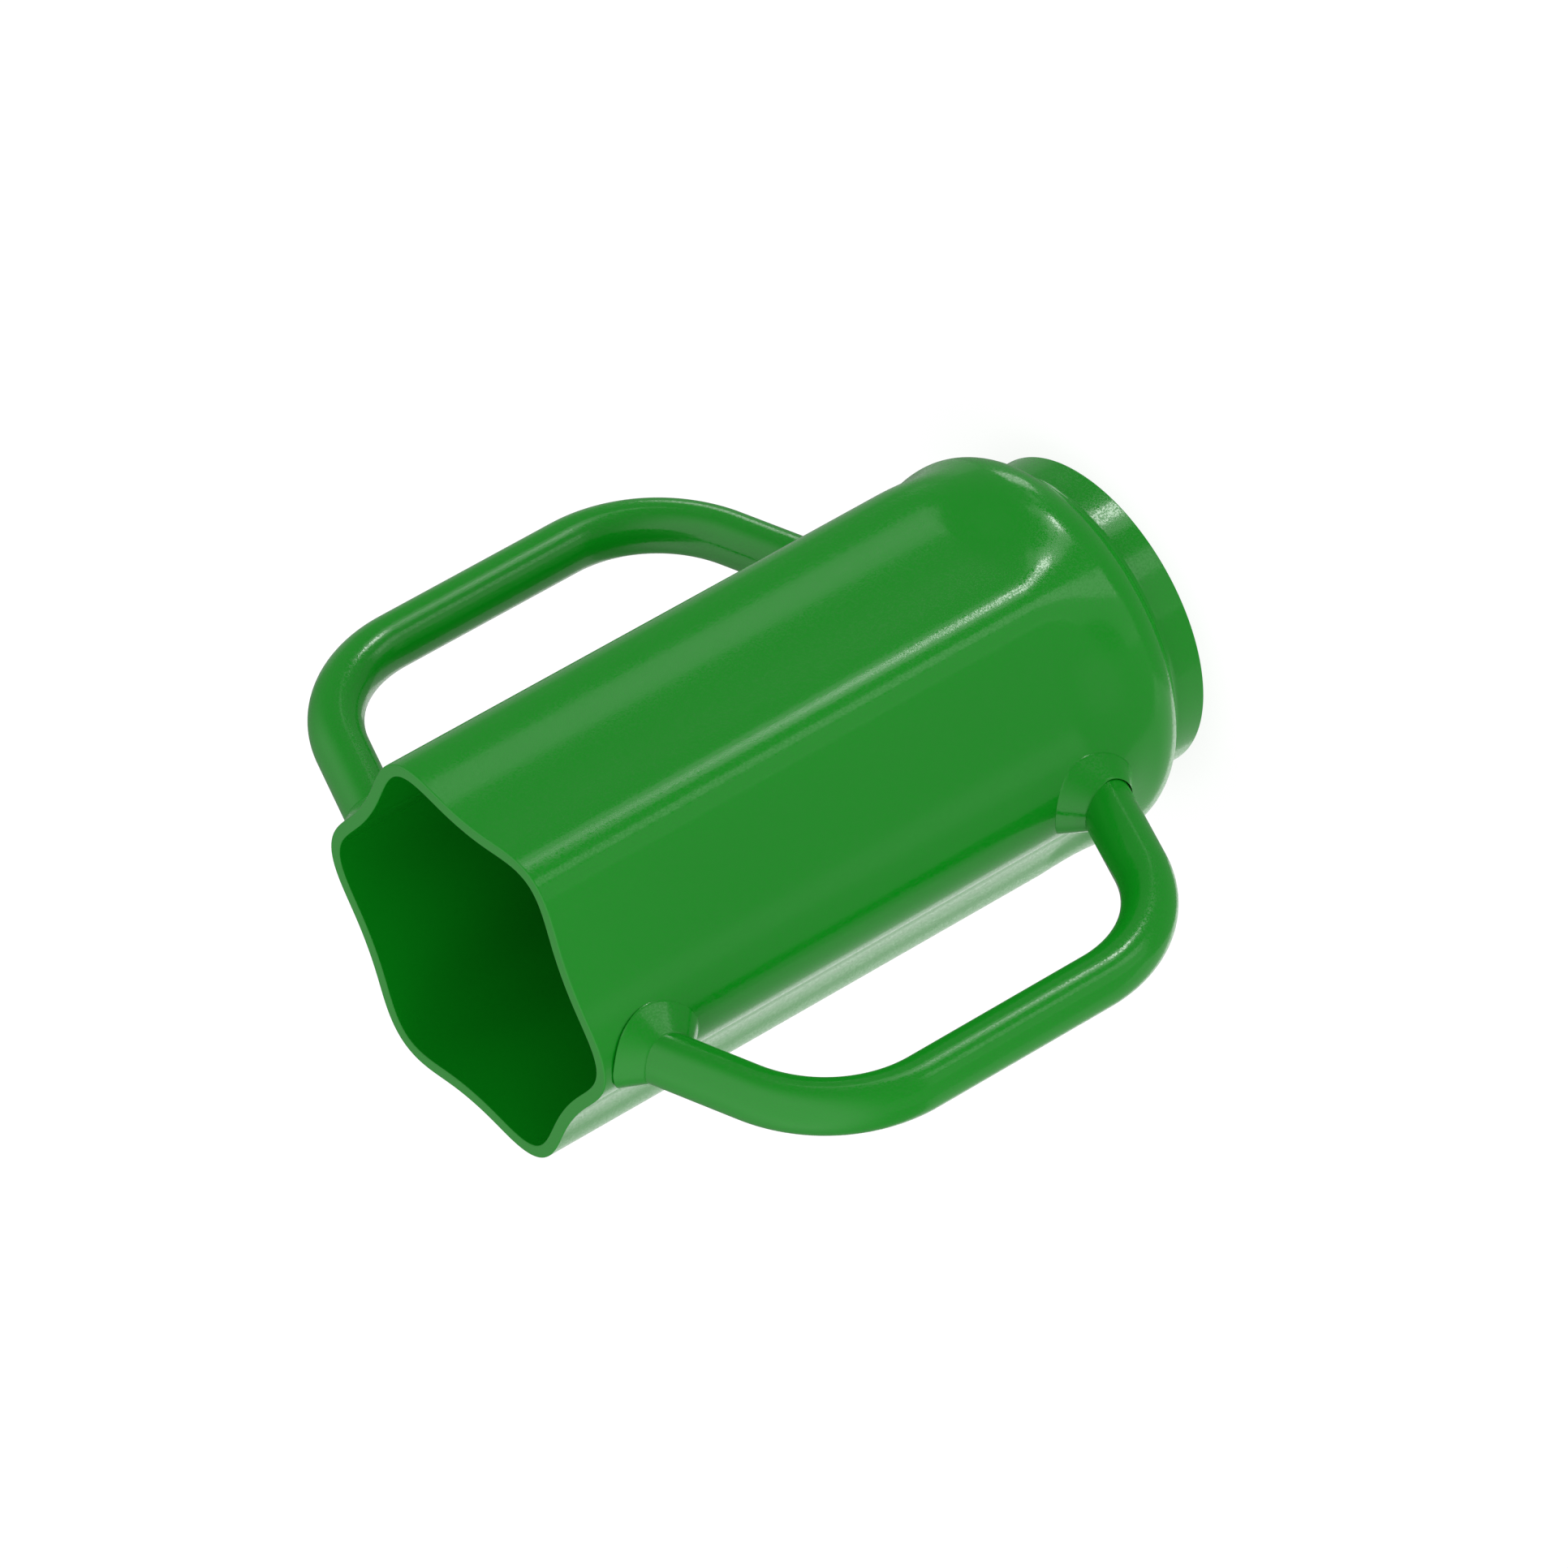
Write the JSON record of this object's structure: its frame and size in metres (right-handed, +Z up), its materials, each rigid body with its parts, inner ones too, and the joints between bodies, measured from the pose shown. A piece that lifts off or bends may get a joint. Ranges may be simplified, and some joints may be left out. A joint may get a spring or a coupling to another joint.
{
  "type": "two-handled pouring cup",
  "caption": "Tall fluted plastic cup with an open mouth, a rounded shoulder, a round foot and two opposite bar handles held in flared collars.",
  "frame": {"origin": "centre of the foot's underside, on the surface the cup stands on", "axes": "+Z up the cup's axis towards the mouth, +X through the middle of one handle, +Y to complete the right-handed frame"},
  "size_m": [0.2146, 0.1008, 0.195],
  "materials": {
    "shell_green": "satin moulded green, fine even grain",
    "handle_green": "satin moulded green, fine even grain",
    "collar_green": "satin moulded green, fine even grain",
    "dowel_grey": "plain drawn rod, hidden inside the joints"
  },
  "bodies": {
    "root": {"cup_shell": "shell_green", "handle_left": "handle_green", "handle_right": "handle_green", "collar_left_upper": "collar_green", "collar_left_lower": "collar_green", "collar_right_upper": "collar_green", "collar_right_lower": "collar_green", "dowel_left_upper": "dowel_grey", "dowel_left_lower": "dowel_grey", "dowel_right_upper": "dowel_grey", "dowel_right_lower": "dowel_grey"}
  },
  "joints": []
}
